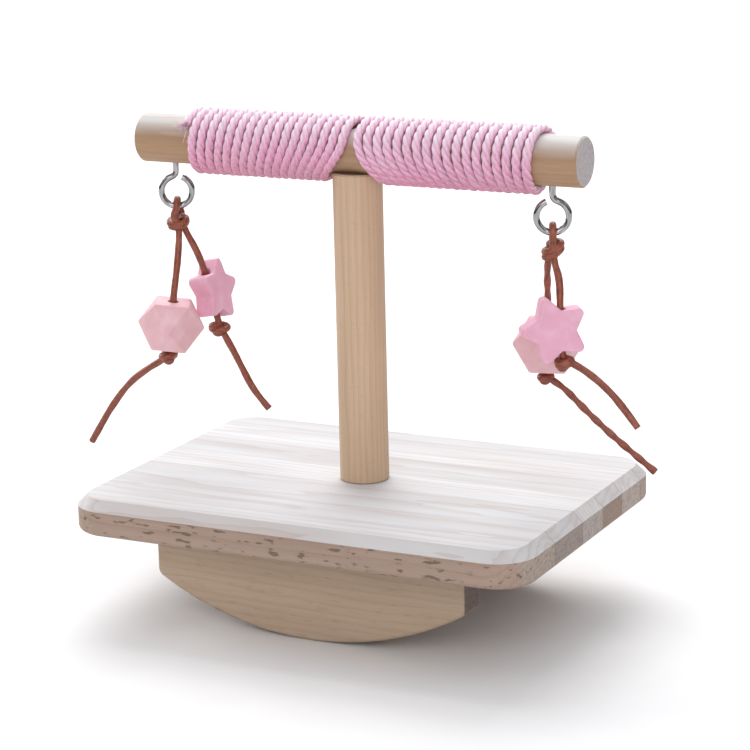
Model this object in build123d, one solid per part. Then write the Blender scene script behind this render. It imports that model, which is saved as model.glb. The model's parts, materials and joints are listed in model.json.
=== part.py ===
from build123d import *
import math
import os

# A small wooden rocking perch: a seesaw for a pet bird, with two hanging chew toys.
# Millimetres. +X runs along the crossbar and the board's grain, +Y away from the front rocker,
# +Z up. The origin is on the floor, under the middle of the object.

# ---- board: edge-glued staves, listed from the front edge to the back edge
board_length = 150.0
stave_widths = [25.0, 21.0, 16.0, 15.5, 15.5, 15.0]
board_thickness = 11.0
board_corner_radius = 12.0
board_top_bevel = 3.1
board_bottom_round = 2.0

# ---- rockers, on edge under the board
rocker_length = 102.5
rocker_height = 28.5
rocker_radius = 97.5
rocker_thickness = 11.0
rocker_inset = 14.3
rocker_corner_round = 3.0
rocker_edge_round = 1.2

# ---- glued dowel pins, two in each rocker
pin_diameter = 5.0
pin_depth_in_board = 7.0
pin_depth_in_rocker = 11.0
pin_spacing = 60.0
glue_gap = 0.05
blind_hole_extra = 0.5
point_tip_radius = 0.2

# ---- upright post and crossbar, cut from the same round rod
post_diameter = 15.0
post_length = 95.0
bar_diameter = 15.0
bar_length = 146.0
bar_seat_depth = 0.7
rod_end_ease = 0.5

# ---- wood screws that hold the post at both ends
screw_diameter = 4.0
screw_head_diameter = 7.6
screw_head_height = 2.4
screw_length_in_post = 26.0
screw_point_length = 4.0
screw_recess_width = 1.1
screw_recess_span = 4.4
screw_recess_depth = 1.8
bar_screw_sink = 1.6

# ---- cotton rope wound round the crossbar
rope_diameter = 2.8
rope_outer_end_left = 54.9
rope_outer_end_right = 60.2
rope_meeting_x = 1.6
rope_meeting_gap = 0.3
rope_lean_left = 9.6
rope_lean_right = 9.4
rope_post_gap = 0.15

# ---- screw eyes
eye_spacing = 125.6
eye_wire_diameter = 2.0
eye_ring_diameter = 11.4
eye_drop = 8.9
eye_bend_radius = 2.2
eye_end_angle = 68.0
eye_thread_length = 10.0
eye_point_length = 3.0
left_eye_turn = 26.0
right_eye_turn = 24.0

# ---- waxed cord, its knots and the beads threaded on it
cord_diameter = 2.2
loop_slack = 0.05
top_knot_diameter = 7.4
top_knot_height = 4.2
top_knot_drop = 4.9
stop_knot_diameter = 6.2
stop_knot_height = 4.4
knot_rounding = 0.44
knot_bite = 0.7
pivot_gap = 0.35
bead_bore_diameter = 3.4
bead_vertex_radius = 10.5
star_point_radius = 11.4
star_notch_radius = 6.2
star_thickness = 6.5
star_point_round = 1.5
star_notch_round = 0.8
star_edge_ease = 0.4
faceted_bead_facing = 71.8
left_star_facing = 272.0
right_star_facing = 34.0

# ---- heights and places that follow from the sizes above
board_width = sum(stave_widths)
board_bottom = rocker_height
board_top = board_bottom + board_thickness
post_top = board_top + post_length
bar_radius = bar_diameter / 2
bar_axis_z = post_top + bar_radius - bar_seat_depth
rope_outer_radius = bar_radius + rope_diameter
rocker_centre_y = board_width / 2 - rocker_inset - rocker_thickness / 2
eye_ring_radius = (eye_ring_diameter - eye_wire_diameter) / 2
eye_centre_z = bar_axis_z - bar_radius - eye_drop
hang_z = eye_centre_z - eye_ring_radius
pivot_drop = top_knot_drop + top_knot_height / 2 + pivot_gap + cord_diameter / 2
bead_half_height = bead_vertex_radius / math.sqrt(2)

# ---- shares and tolerances of the construction
cord_arc_share = 0.45
near = 0.01

nodes = {}


def cylinder_along_x(radius, length):
    return Rot(0, 90, 0) * Cylinder(radius, length)


def board_blank():
    """The glued-up board before its holes: rounded corners, bevelled top, rounded underside."""
    blank = Pos(0, 0, (board_bottom + board_top) / 2) * Box(board_length, board_width, board_thickness)
    blank = fillet(blank.edges().filter_by(Axis.Z), board_corner_radius)
    blank = chamfer(blank.faces().sort_by(Axis.Z)[-1].edges(), board_top_bevel)
    return fillet(blank.faces().sort_by(Axis.Z)[0].edges(), board_bottom_round)


def pin_places():
    for y in (-rocker_centre_y, rocker_centre_y):
        for x in (-pin_spacing / 2, pin_spacing / 2):
            yield x, y


def pin_holes():
    """The holes for the dowel pins, through the joint between the board and the rockers."""
    top = board_bottom + pin_depth_in_board + blind_hole_extra
    bottom = board_bottom - pin_depth_in_rocker - blind_hole_extra
    hole = Cylinder(pin_diameter / 2 + glue_gap, top - bottom)
    return [Pos(x, y, (top + bottom) / 2) * hole for x, y in pin_places()]


def wood_screw(through):
    """A countersunk wood screw: its head is at the top, and its point is down."""
    head = Cone(screw_diameter / 2, screw_head_diameter / 2, screw_head_height)
    head = Pos(0, 0, -screw_head_height / 2) * head
    shank_length = through + screw_length_in_post - screw_head_height - screw_point_length
    shank = Pos(0, 0, -screw_head_height - shank_length / 2) * Cylinder(screw_diameter / 2, shank_length)
    point_z = -screw_head_height - shank_length - screw_point_length / 2
    point = Pos(0, 0, point_z) * Cone(point_tip_radius, screw_diameter / 2, screw_point_length)
    slot = Pos(0, 0, -screw_recess_depth / 2) * Box(screw_recess_span, screw_recess_width, screw_recess_depth)
    return head + shank + point - slot - Rot(0, 0, 90) * slot


def screw_hole(through):
    """The drilled and countersunk hole that a wood screw needs, in the screw's own frame."""
    gap = glue_gap
    length = through + screw_length_in_post + blind_hole_extra
    shank = Pos(0, 0, -length / 2) * Cylinder(screw_diameter / 2 + gap, length)
    sink = Cone(screw_diameter / 2 + gap, screw_head_diameter / 2 + gap, screw_head_height)
    return shank + Pos(0, 0, -screw_head_height / 2) * sink


def build_board_and_post():
    through_board = board_thickness
    post_screw_at = Pos(0, 0, board_bottom) * Rot(180, 0, 0)
    bar_screw_top = bar_axis_z + bar_radius - bar_screw_sink
    through_bar = bar_screw_top - post_top
    bar_screw_at = Pos(0, 0, bar_screw_top)

    board = board_blank() - pin_holes() - post_screw_at * screw_hole(through_board)
    front = -board_width / 2
    for number, width in enumerate(stave_widths, start=1):
        slab = Pos(0, front + width / 2, (board_bottom + board_top) / 2)
        slab *= Box(board_length + 1, width, board_thickness + 1)
        nodes[f"board_stave_{number}"] = board & slab
        front += width

    post = Pos(0, 0, (board_top + post_top) / 2) * Cylinder(post_diameter / 2, post_length)
    post = chamfer(post.edges().filter_by(GeomType.CIRCLE), rod_end_ease)
    post -= post_screw_at * screw_hole(through_board)
    nodes["post"] = post - bar_screw_at * screw_hole(through_bar)
    nodes["post_screw"] = post_screw_at * wood_screw(through_board)

    bar = Pos(0, 0, bar_axis_z) * cylinder_along_x(bar_radius, bar_length)
    bar = chamfer(bar.edges().filter_by(GeomType.CIRCLE), rod_end_ease)
    seat = Box(post_diameter, bar_diameter, bar_diameter)
    bar -= Pos(0, 0, post_top - bar_diameter / 2) * seat
    bar -= bar_screw_at * screw_hole(through_bar)
    counterbore = Cylinder(screw_head_diameter / 2 + glue_gap, 2 * bar_screw_sink)
    bar -= Pos(0, 0, bar_screw_top + bar_screw_sink) * counterbore
    for x in (-eye_spacing / 2, eye_spacing / 2):
        hole_top = bar_axis_z - bar_radius + eye_thread_length + blind_hole_extra
        hole_bottom = bar_axis_z - bar_diameter
        hole = Cylinder(eye_wire_diameter / 2 + glue_gap, hole_top - hole_bottom)
        bar -= Pos(x, 0, (hole_top + hole_bottom) / 2) * hole
    nodes["crossbar"] = bar
    nodes["bar_screw"] = bar_screw_at * wood_screw(through_bar)


def rocker_blank():
    """One rocker without its pin holes: an arc below, a flat top, and eased lower corners."""
    end_x = rocker_length / 2
    end_z = rocker_radius - math.sqrt(rocker_radius**2 - end_x**2)
    arc = ThreePointArc((-end_x, end_z), (0, 0), (end_x, end_z))
    rest = Polyline((end_x, end_z), (end_x, rocker_height), (-end_x, rocker_height), (-end_x, end_z))
    outline = make_face([arc, *rest.edges()])
    corners = [v for v in outline.vertices() if abs(v.Y - end_z) < near]
    outline = fillet(corners, rocker_corner_round)
    blank = extrude(Plane.XZ * outline, rocker_thickness / 2, both=True)
    middles = [(edge, edge.center()) for edge in blank.edges()]
    rims = [edge for edge, at in middles if at.Z < rocker_height - near and abs(at.Y) > near]
    return fillet(rims, rocker_edge_round)


def build_rockers():
    rocker = rocker_blank()
    for name, y in (("front_rocker", -rocker_centre_y), ("rear_rocker", rocker_centre_y)):
        nodes[name] = Pos(0, y, 0) * rocker - pin_holes()
    length = pin_depth_in_board + pin_depth_in_rocker
    pin = Cylinder(pin_diameter / 2, length)
    pin = chamfer(pin.edges().filter_by(GeomType.CIRCLE), rod_end_ease)
    middle = board_bottom + (pin_depth_in_board - pin_depth_in_rocker) / 2
    nodes["rocker_pins"] = Compound([Pos(x, y, middle) * pin for x, y in pin_places()])


def build_rope_wraps():
    """Two plain sleeves, where the winding is: they meet over the bar and part round the post."""
    half_gap = rope_meeting_gap / 2
    low, high = bar_axis_z - rope_outer_radius, bar_axis_z + rope_outer_radius
    post_room = Cylinder(post_diameter / 2 + rope_post_gap, 2 * bar_diameter)
    post_room = Pos(0, 0, post_top - bar_diameter) * post_room
    wraps = (
        ("rope_wrap_left", -rope_outer_end_left, rope_meeting_x - half_gap, -rope_lean_left),
        ("rope_wrap_right", rope_outer_end_right, rope_meeting_x + half_gap, rope_lean_right),
    )
    for name, outer_x, top_x, lean in wraps:
        outline = Polyline((outer_x, low), (outer_x, high), (top_x, high), (top_x + lean, low), close=True)
        side = extrude(Plane.XZ * make_face(outline), high - low, both=True)
        length = abs(outer_x) + abs(lean) + abs(top_x)
        middle = Pos((outer_x + top_x + lean) / 2, 0, bar_axis_z)
        sleeve = cylinder_along_x(rope_outer_radius, 2 * length)
        sleeve -= cylinder_along_x(bar_radius, 2 * length)
        nodes[name] = (middle * sleeve & side) - post_room


def build_screw_eye(side, x, turn, bend_to):
    """Bent wire: a shank that turns aside, then a ring that comes back round to the shank."""
    bend, ring = eye_bend_radius, eye_ring_radius
    bend_z = math.sqrt((bend + ring) ** 2 - bend**2)
    join = math.degrees(math.atan2(bend_z, -bend))
    shank_top = eye_drop + eye_thread_length - eye_point_length
    shank = Line((0, shank_top), (0, bend_z))
    corner = CenterArc((-bend, bend_z), bend, 0, join - 180)
    loop = CenterArc((0, 0), ring, join, 360 + eye_end_angle - join)
    path = Plane.XZ * Wire([shank, corner, loop])
    wire = sweep(Plane.XY.offset(shank_top) * Circle(eye_wire_diameter / 2), path=path)
    point = Cone(eye_wire_diameter / 2, point_tip_radius, eye_point_length)
    eye = wire + Pos(0, 0, shank_top + eye_point_length / 2) * point
    if bend_to > 0:
        eye = mirror(eye, Plane.YZ)
    nodes[f"{side}_screw_eye"] = Pos(x, 0, eye_centre_z) * Rot(0, 0, turn) * eye


def knot(diameter, height):
    rounding = knot_rounding * height
    lump = Cylinder(diameter / 2, height)
    return fillet(lump.edges().filter_by(GeomType.CIRCLE), rounding)


def cord_tube(name, points):
    """A round cord along straight runs that tangent arcs join, each as large as its runs allow."""
    points = [Vector(*p) for p in points]
    runs = [b - a for a, b in zip(points, points[1:])]
    radii = []
    for before, after in zip(runs, runs[1:]):
        half_turn = math.radians(before.get_angle(after)) / 2
        radii.append(cord_arc_share * min(before.length, after.length) / math.tan(half_turn))
    path = FilletPolyline(*points, radius=radii)
    start = Plane(origin=path @ 0, z_dir=path % 0)
    tube = sweep(start * Circle(cord_diameter / 2), path=path)
    expected = math.pi * cord_diameter**2 / 4 * path.length
    print(f"{name}: {path.length:.1f} mm, radii", [round(r, 1) for r in radii], end=", ")
    print(f"volume {tube.volume:.1f} of {expected:.1f}")
    return tube


def build_loop(side, hang, turn):
    """The cord's loop over the ring's wire, and the knot that both of its strands share."""
    reach = (eye_wire_diameter + cord_diameter) / 2 + loop_slack
    low = -top_knot_drop + top_knot_height / 2 - knot_bite
    front = Line((-reach, low), (-reach, 0))
    over = CenterArc((0, 0), reach, 180, -180)
    back = Line((reach, 0), (reach, low))
    path = Plane.YZ * Wire([front, over, back])
    tube = sweep(Plane.XY.offset(low) * Pos(0, -reach) * Circle(cord_diameter / 2), path=path)
    place = Pos(*hang) * Rot(0, 0, turn)
    nodes[f"{side}_cord_loop"] = place * tube
    nodes[f"{side}_top_knot"] = place * Pos(0, 0, -top_knot_drop) * knot(top_knot_diameter, top_knot_height)


def faceted_bead():
    """A cuboctahedron: a cube cut at each corner to the middles of its edges, bored through."""
    half = bead_half_height
    bead = Box(2 * half, 2 * half, 2 * half)
    for x in (-1, 1):
        for y in (-1, 1):
            for z in (-1, 1):
                corner = Plane(origin=(x * half, y * half, 0), z_dir=(x, y, z))
                bead = split(bead, bisect_by=corner, keep=Keep.BOTTOM)
    return bead - Cylinder(bead_bore_diameter / 2, 3 * half)


def star_bead():
    """A five-pointed star, upright in the XZ plane, bored from one notch to the next but one.

    The bore is on the Z axis, so the star's middle stands a little to one side of it."""
    corners = []
    for i in range(10):
        radius = star_notch_radius if i % 2 else star_point_radius
        angle = math.radians(90 + 18 + 36 * i)
        corners.append((radius * math.cos(angle), radius * math.sin(angle)))
    outline = make_face(Polyline(*corners, close=True))
    far = (star_point_radius + star_notch_radius) / 2
    points = [v for v in outline.vertices() if (v.X**2 + v.Y**2) ** 0.5 > far]
    outline = fillet(points, star_point_round)
    notches = [v for v in outline.vertices() if (v.X**2 + v.Y**2) ** 0.5 < star_notch_radius + near]
    outline = fillet(notches, star_notch_round)
    star = extrude(Plane.XZ * outline, star_thickness / 2, both=True)
    broad = [f for f in star.faces() if abs(abs(f.center().Y) - star_thickness / 2) < near]
    star = chamfer([e for f in broad for e in f.edges()], star_edge_ease)
    star = Pos(-star_notch_radius * math.cos(math.radians(72)), 0, 0) * star
    return star - Cylinder(bead_bore_diameter / 2, 3 * star_point_radius)


def bead_frame(hang, centre, up, facing):
    """The place of a bead: its bore along up, and its local +X turned from +X by facing degrees."""
    origin = Vector(*hang) + Vector(*centre)
    x_dir = Vector(math.cos(math.radians(facing)), math.sin(math.radians(facing)), 0)
    z_dir = Vector(*up).normalized()
    x_dir = x_dir - z_dir * x_dir.dot(z_dir)
    return Location(Plane(origin=origin, x_dir=x_dir, z_dir=z_dir))


def stop_knot(name, hang, centre, up):
    nodes[name] = bead_frame(hang, centre, up, 0) * knot(stop_knot_diameter, stop_knot_height)


def cord_from(name, hang, points):
    """A length of cord whose points are measured from the place where the toy hangs."""
    nodes[name] = cord_tube(name, [Vector(*hang) + Vector(*p) for p in points])


build_board_and_post()
build_rockers()
build_rope_wraps()

left_hang = (-eye_spacing / 2, 0, hang_z)
right_hang = (eye_spacing / 2, 0, hang_z)
build_screw_eye("left", -eye_spacing / 2, left_eye_turn, -1)
build_screw_eye("right", eye_spacing / 2, right_eye_turn, 1)
build_loop("left", left_hang, left_eye_turn)
build_loop("right", right_hang, right_eye_turn)

# Left toy: the faceted bead hangs in front of the star. Points are from left_hang.
cord_from("left_bead_leg", left_hang, [
    (1.1, -1.4, -pivot_drop), (1.8, -4.3, -16.9), (2.3, -8.3, -26.2), (1.0, -8.2, -35.4),
    (-0.25, -8.4, -44.2),
])
stop_knot("left_bead_knot", left_hang, (-0.5, -8.4, -45.6), (0.14, 0.0, 0.99))
cord_from("left_bead_tail", left_hang, [
    (-2.0, -8.3, -47.0), (-8.4, -8.1, -50.7), (-15.7, -7.8, -56.0), (-22.8, -7.4, -64.5),
    (-27.3, -7.1, -71.1), (-31.1, -7.0, -76.9),
])
left_bead_place = bead_frame(left_hang, (0.95, -8.27, -35.73), (0.14, 0.01, 0.99), faceted_bead_facing)
nodes["left_faceted_bead"] = left_bead_place * faceted_bead()

cord_from("left_star_leg", left_hang, [
    (2.0, 1.4, -pivot_drop), (4.4, 3.2, -14.4), (5.25, 5.7, -20.6), (6.85, 6.9, -29.1),
    (8.45, 7.8, -37.7),
])
stop_knot("left_star_knot", left_hang, (8.75, 8.0, -39.6), (-0.15, -0.1, 0.98))
cord_from("left_star_tail", left_hang, [
    (9.95, 8.1, -41.3), (13.1, 8.4, -46.6), (16.4, 8.8, -53.2), (20.0, 9.1, -59.8),
    (24.9, 9.2, -64.7),
])
left_star_place = bead_frame(left_hang, (6.67, 6.71, -28.15), (-0.18, -0.12, 0.98), left_star_facing)
nodes["left_star_bead"] = left_star_place * star_bead()

# Right toy: the star hangs in front of the faceted bead. Points are from right_hang.
cord_from("right_bead_leg", right_hang, [
    (-2.2, 1.1, -pivot_drop), (-3.2, 3.2, -16.4), (-4.0, 5.9, -25.9), (-4.5, 6.2, -34.7),
    (-5.2, 6.1, -43.3),
])
stop_knot("right_bead_knot", right_hang, (-5.1, 6.1, -44.9), (0.08, 0.0, 1.0))
cord_from("right_bead_tail", right_hang, [
    (-3.4, 6.0, -45.5), (0.8, 5.9, -47.6), (6.4, 5.7, -52.6), (13.6, 5.6, -58.6),
    (21.6, 5.6, -64.6), (29.6, 5.7, -70.3),
])
right_bead_place = bead_frame(right_hang, (-4.57, 6.1, -35.02), (0.07, -0.01, 1.0), faceted_bead_facing)
nodes["right_faceted_bead"] = right_bead_place * faceted_bead()

cord_from("right_star_leg", right_hang, [
    (0.8, -1.1, -pivot_drop), (3.3, -3.1, -12.6), (4.55, -5.7, -19.4), (4.6, -5.9, -27.0),
    (4.85, -5.8, -34.8),
])
stop_knot("right_star_knot", right_hang, (5.7, -5.4, -36.6), (0.1, 0.0, 0.99))
cord_from("right_star_tail", right_hang, [
    (7.3, -5.4, -36.6), (11.4, -5.5, -38.3), (16.9, -5.6, -41.8), (23.0, -5.9, -47.1),
    (28.6, -6.2, -54.0),
])
right_star_place = bead_frame(right_hang, (4.64, -5.83, -27.0), (-0.02, 0.01, 1.0), right_star_facing)
nodes["right_star_bead"] = right_star_place * star_bead()

os.makedirs("parts", exist_ok=True)
for name, solid in nodes.items():
    solid.label = name
    export_step(solid, f"parts/{name}.step")
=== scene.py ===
"""The looks of a small wooden rocking perch: wood, wound cotton rope, cord toys and painted beads."""

import json
import math

import bmesh
import bpy
import numpy as np
from bpy.props import FloatProperty, FloatVectorProperty, IntProperty, PointerProperty
from mathutils import Matrix, Vector


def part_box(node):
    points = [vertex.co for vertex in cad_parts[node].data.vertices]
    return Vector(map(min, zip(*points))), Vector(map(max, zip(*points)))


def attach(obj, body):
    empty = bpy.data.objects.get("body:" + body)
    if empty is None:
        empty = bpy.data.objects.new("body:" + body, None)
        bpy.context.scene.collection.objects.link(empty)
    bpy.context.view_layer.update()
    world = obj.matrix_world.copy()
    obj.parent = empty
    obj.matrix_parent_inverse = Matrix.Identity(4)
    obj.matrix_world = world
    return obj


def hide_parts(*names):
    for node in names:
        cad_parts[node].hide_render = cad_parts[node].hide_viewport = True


bl_info = {
    "name": "Rocking perch looks",
    "version": (1, 0, 0),
    "blender": (4, 5, 0),
    "location": "View3D > Sidebar > Perch",
    "description": "Builds the wood, rope, cord and bead pieces of a small rocking perch",
    "category": "Object",
}

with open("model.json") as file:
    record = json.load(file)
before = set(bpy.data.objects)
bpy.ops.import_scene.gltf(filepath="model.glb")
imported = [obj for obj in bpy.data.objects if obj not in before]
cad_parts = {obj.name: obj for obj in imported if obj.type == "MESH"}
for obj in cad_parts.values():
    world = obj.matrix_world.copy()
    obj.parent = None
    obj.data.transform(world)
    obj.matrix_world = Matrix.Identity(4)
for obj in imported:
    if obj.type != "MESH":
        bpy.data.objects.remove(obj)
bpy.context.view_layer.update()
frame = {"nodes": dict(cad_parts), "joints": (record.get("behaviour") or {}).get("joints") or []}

MM = 0.001
SIDES = ("left", "right")
STAVES = [f"board_stave_{number}" for number in range(1, 7)]
JOINTS = {joint["name"]: joint for joint in frame["joints"]}
HANG = {side: Vector(JOINTS[f"{side}_loop_swing"]["pos_m"]) for side in SIDES}
EYE_TURN = {
    side: math.atan2(JOINTS[f"{side}_loop_swing"]["axis"][1], JOINTS[f"{side}_loop_swing"]["axis"][0])
    for side in SIDES
}

# The routes of the four strands: millimetres from the place where the toy hangs. Each starts inside
# the top knot, goes down through its bead and its stop knot, and ends in a loose tail.
STRANDS = {
    "left_bead": [
        (0.6, -0.8, -5.4), (1.1, -1.4, -8.45), (1.8, -4.3, -16.9), (2.3, -8.3, -26.2), (1.0, -8.2, -35.4),
        (-0.25, -8.4, -44.2), (-2.0, -8.3, -47.0), (-8.4, -8.1, -50.7), (-15.7, -7.8, -56.0),
        (-22.8, -7.4, -64.5), (-27.3, -7.1, -71.1), (-31.1, -7.0, -76.9),
    ],
    "left_star": [
        (0.9, 0.8, -5.4), (2.0, 1.4, -8.45), (4.4, 3.2, -14.4), (5.25, 5.7, -20.6), (6.85, 6.9, -29.1),
        (8.45, 7.8, -37.7), (9.95, 8.1, -41.3), (13.1, 8.4, -46.6), (16.4, 8.8, -53.2),
        (20.0, 9.1, -59.8), (24.9, 9.2, -64.7),
    ],
    "right_bead": [
        (-1.2, 0.7, -5.4), (-2.2, 1.1, -8.45), (-3.2, 3.2, -16.4), (-4.0, 5.9, -25.9), (-4.5, 6.2, -34.7),
        (-5.2, 6.1, -43.3), (-3.4, 6.0, -45.5), (0.8, 5.9, -47.6), (6.4, 5.7, -52.6),
        (13.6, 5.6, -58.6), (21.6, 5.6, -64.6), (29.6, 5.7, -70.3),
    ],
    "right_star": [
        (0.3, -0.6, -5.4), (0.8, -1.1, -8.45), (3.3, -3.1, -12.6), (4.55, -5.7, -19.4), (4.6, -5.9, -27.0),
        (4.85, -5.8, -34.8), (7.3, -5.4, -36.6), (11.4, -5.5, -38.3), (16.9, -5.6, -41.8),
        (23.0, -5.9, -47.1), (28.6, -6.2, -54.0),
    ],
}
TOP_KNOT_DROP = 4.9
WIRE_RADIUS = 1.0
WIRE_GAP = 0.05
LOOP_SPLAY = {"left": 0.95, "right": 0.0}
STAR_TIP_ROUNDING = 0.0015
STAR_NOTCH_ROUNDING = 0.0008
STAR_RIM = 0.0005
FACETED_FACING = math.radians(71.8)
STAR_FACING = {"left": math.radians(272.0), "right": math.radians(34.0)}

# The rope's strands sit this share of their radius away from the rope's centre line, and their
# unevenness changes over this length.
STRAND_OFFSET = 0.74
UNEVEN_STEP = 0.006

# Where the rope's winding starts, and how far short of a whole turn it ends.
ROPE_START = math.radians(130)
ROPE_SHORT_OF_TURN = math.radians(70)

FLOOR_HALF = 6.0
LIGHT_AIM = (0.0, 0.0, 0.06)
# name, position, size in metres, power in watts
LIGHTS = (
    ("window", (-0.8, 1.5, 2.1), 2.2, 52.0),
    ("front_fill", (0.8, -2.1, 1.1), 1.8, 16.0),
    ("left_rim", (-1.8, 0.4, 0.7), 1.0, 12.0),
)

# Each stave's brightness, its pith (how far across it, and how far above its middle), and its end.
STAVE_TINTS = (1.0, 0.97, 1.03, 0.95, 1.04, 0.98)
STAVE_PITHS = (
    (0.006, -0.012), (-0.004, 0.055), (0.012, -0.003), (-0.009, 0.070), (0.003, -0.006), (0.010, 0.048),
)
STAVE_ENDS = (
    (0.42, 0.34, 0.29), (0.35, 0.29, 0.26), (0.44, 0.38, 0.35),
    (0.36, 0.26, 0.20), (0.46, 0.38, 0.34), (0.42, 0.33, 0.29),
)
PLAIN_END = (0.30, 0.21, 0.14)
# The rockers' end grain, made darker still with painted shade where the board above shades it.
ROCKER_END_AND_SHADE = (0.18, 0.135, 0.12)
BAR_END = (0.66, 0.60, 0.62)
# The bar's wood is a little warmer than the post's.
BAR_WARMTH = (0.95, 0.85, 0.76)
SEAM_COLOUR = (0.16, 0.10, 0.06)


# ---------------------------------------------------------------- settings


class PerchWood(bpy.types.PropertyGroup):
    ring_width: FloatProperty(
        name="Ring width", description="Distance between growth rings", default=0.0019, unit="LENGTH"
    )
    board_light: FloatVectorProperty(
        name="Board wood", description="Pale wood of the board", subtype="COLOR",
        default=(0.42, 0.31, 0.255),
    )
    board_dark: FloatVectorProperty(
        name="Board grain", description="Late wood of the board", subtype="COLOR",
        default=(0.32, 0.22, 0.165),
    )
    # Painted glare: this pale, cool colour on the board's upward faces stands in for light falling from
    # above.
    board_top_glare: FloatVectorProperty(
        name="Board top", description="Sanded upper face of the board", subtype="COLOR",
        default=(0.65, 0.68, 0.71),
    )
    # Painted glare: this near-white colour on the bar's upper side stands in for light falling from above.
    bar_top_glare: FloatVectorProperty(
        name="Bar top", description="Upper side of the bar", subtype="COLOR",
        default=(0.90, 0.93, 0.95),
    )
    rod_light: FloatVectorProperty(
        name="Rod wood", description="Pale wood of the post and bar", subtype="COLOR",
        default=(0.60, 0.44, 0.31),
    )
    rod_dark: FloatVectorProperty(
        name="Rod grain", description="Late wood of the post and bar", subtype="COLOR",
        default=(0.47, 0.31, 0.19),
    )
    rocker_light: FloatVectorProperty(
        name="Rocker wood", description="Pale wood of the rockers", subtype="COLOR",
        default=(0.52, 0.40, 0.30),
    )
    rocker_dark: FloatVectorProperty(
        name="Rocker grain", description="Late wood of the rockers", subtype="COLOR",
        default=(0.42, 0.30, 0.21),
    )


class PerchRope(bpy.types.PropertyGroup):
    strand_radius: FloatProperty(
        name="Strand radius", description="Radius of one strand of the rope", default=0.00082, unit="LENGTH"
    )
    lay_length: FloatProperty(
        name="Lay length", description="Length of rope in one full twist", default=0.0088, unit="LENGTH"
    )
    loose_fibres: IntProperty(
        name="Loose fibres", description="Short fibres that stand off the rope", default=1400, min=0
    )
    left_turns: IntProperty(name="Left turns", description="Turns left of the post", default=17, min=3)
    right_turns: IntProperty(name="Right turns", description="Turns right of the post", default=18, min=3)
    colour: FloatVectorProperty(
        name="Colour", description="Dyed cotton", subtype="COLOR", default=(0.93, 0.45, 0.65)
    )


class PerchCord(bpy.types.PropertyGroup):
    diameter: FloatProperty(
        name="Diameter", description="Diameter of the waxed cord", default=0.0022, unit="LENGTH"
    )
    colour: FloatVectorProperty(
        name="Colour", description="Rust-brown waxed cord", subtype="COLOR", default=(0.25, 0.050, 0.020)
    )


class PerchBeads(bpy.types.PropertyGroup):
    faceted_radius: FloatProperty(
        name="Faceted radius", description="Centre to corner", default=0.0105, unit="LENGTH"
    )
    star_radius: FloatProperty(
        name="Star radius", description="Centre to the point before rounding", default=0.0114, unit="LENGTH"
    )
    star_notch: FloatProperty(
        name="Star notch", description="Centre to the notch between points", default=0.0062, unit="LENGTH"
    )
    star_thickness: FloatProperty(
        name="Star thickness", description="Thickness of the star", default=0.0065, unit="LENGTH"
    )
    bore: FloatProperty(
        name="Bore", description="Diameter of the hole for the cord", default=0.0034, unit="LENGTH"
    )
    faceted_paint: FloatVectorProperty(
        name="Faceted paint", description="Salmon-pink paint", subtype="COLOR", default=(0.78, 0.46, 0.50)
    )
    star_paint: FloatVectorProperty(
        name="Star paint", description="Rose-pink paint", subtype="COLOR", default=(0.80, 0.41, 0.54)
    )


class PerchStudio(bpy.types.PropertyGroup):
    lens: FloatProperty(name="Lens", description="Focal length in millimetres", default=125.3)
    azimuth: FloatProperty(
        name="Azimuth", description="Camera's turn from -Y", default=math.radians(26.765), subtype="ANGLE"
    )
    elevation: FloatProperty(
        name="Elevation", description="Camera's height angle", default=math.radians(14.16), subtype="ANGLE"
    )
    roll: FloatProperty(
        name="Roll", description="Camera's turn about its line of sight", default=math.radians(-1.345),
        subtype="ANGLE",
    )
    distance: FloatProperty(
        name="Distance", description="Camera to its target", default=0.790442, unit="LENGTH"
    )
    target: FloatVectorProperty(
        name="Target", description="Point that the camera looks at", default=(0.00424, 0.000085, 0.072371),
        unit="LENGTH",
    )


GROUPS = {
    "perch_wood": PerchWood,
    "perch_rope": PerchRope,
    "perch_cord": PerchCord,
    "perch_beads": PerchBeads,
    "perch_studio": PerchStudio,
}


# ---------------------------------------------------------------- shader helpers


def shader(name, roughness=0.6, **inputs):
    """A new material, its node tree and its Principled shader."""
    material = bpy.data.materials.new(name)
    material.use_nodes = True
    surface = material.node_tree.nodes["Principled BSDF"]
    surface.inputs["Roughness"].default_value = roughness
    for socket, value in inputs.items():
        surface.inputs[socket.replace("_", " ")].default_value = value
    return material, material.node_tree, surface


def add(tree, kind, links=None, **settings):
    """A new node. links sets its inputs by name or number, to another node's output or to a value."""
    node = tree.nodes.new(kind)
    for key, value in settings.items():
        setattr(node, key, value)
    for key, value in (links or {}).items():
        if isinstance(value, bpy.types.NodeSocket):
            tree.links.new(value, node.inputs[key])
        else:
            node.inputs[key].default_value = value
    return node


def math_node(tree, operation, a, b=0.0, clamp=False):
    return add(tree, "ShaderNodeMath", {0: a, 1: b}, operation=operation, use_clamp=clamp).outputs[0]


def noise(tree, vector, scale, detail=4.0, roughness=0.55, distortion=0.0):
    links = {
        "Vector": vector, "Scale": scale, "Detail": detail, "Roughness": roughness,
        "Distortion": distortion,
    }
    return add(tree, "ShaderNodeTexNoise", links).outputs["Fac"]


def scaled(tree, vector, scale, offset=(0.0, 0.0, 0.0)):
    return add(tree, "ShaderNodeMapping", {"Vector": vector, "Location": offset, "Scale": scale}).outputs[0]


def ramp(tree, value, stops):
    """A colour ramp from (position, colour) stops."""
    node = add(tree, "ShaderNodeValToRGB", {"Fac": value})
    elements = node.color_ramp.elements
    while len(elements) < len(stops):
        elements.new(0.5)
    for element, (position, colour) in zip(elements, stops):
        element.position = position
        element.color = (*colour, 1.0)
    return node.outputs["Color"]


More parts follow.
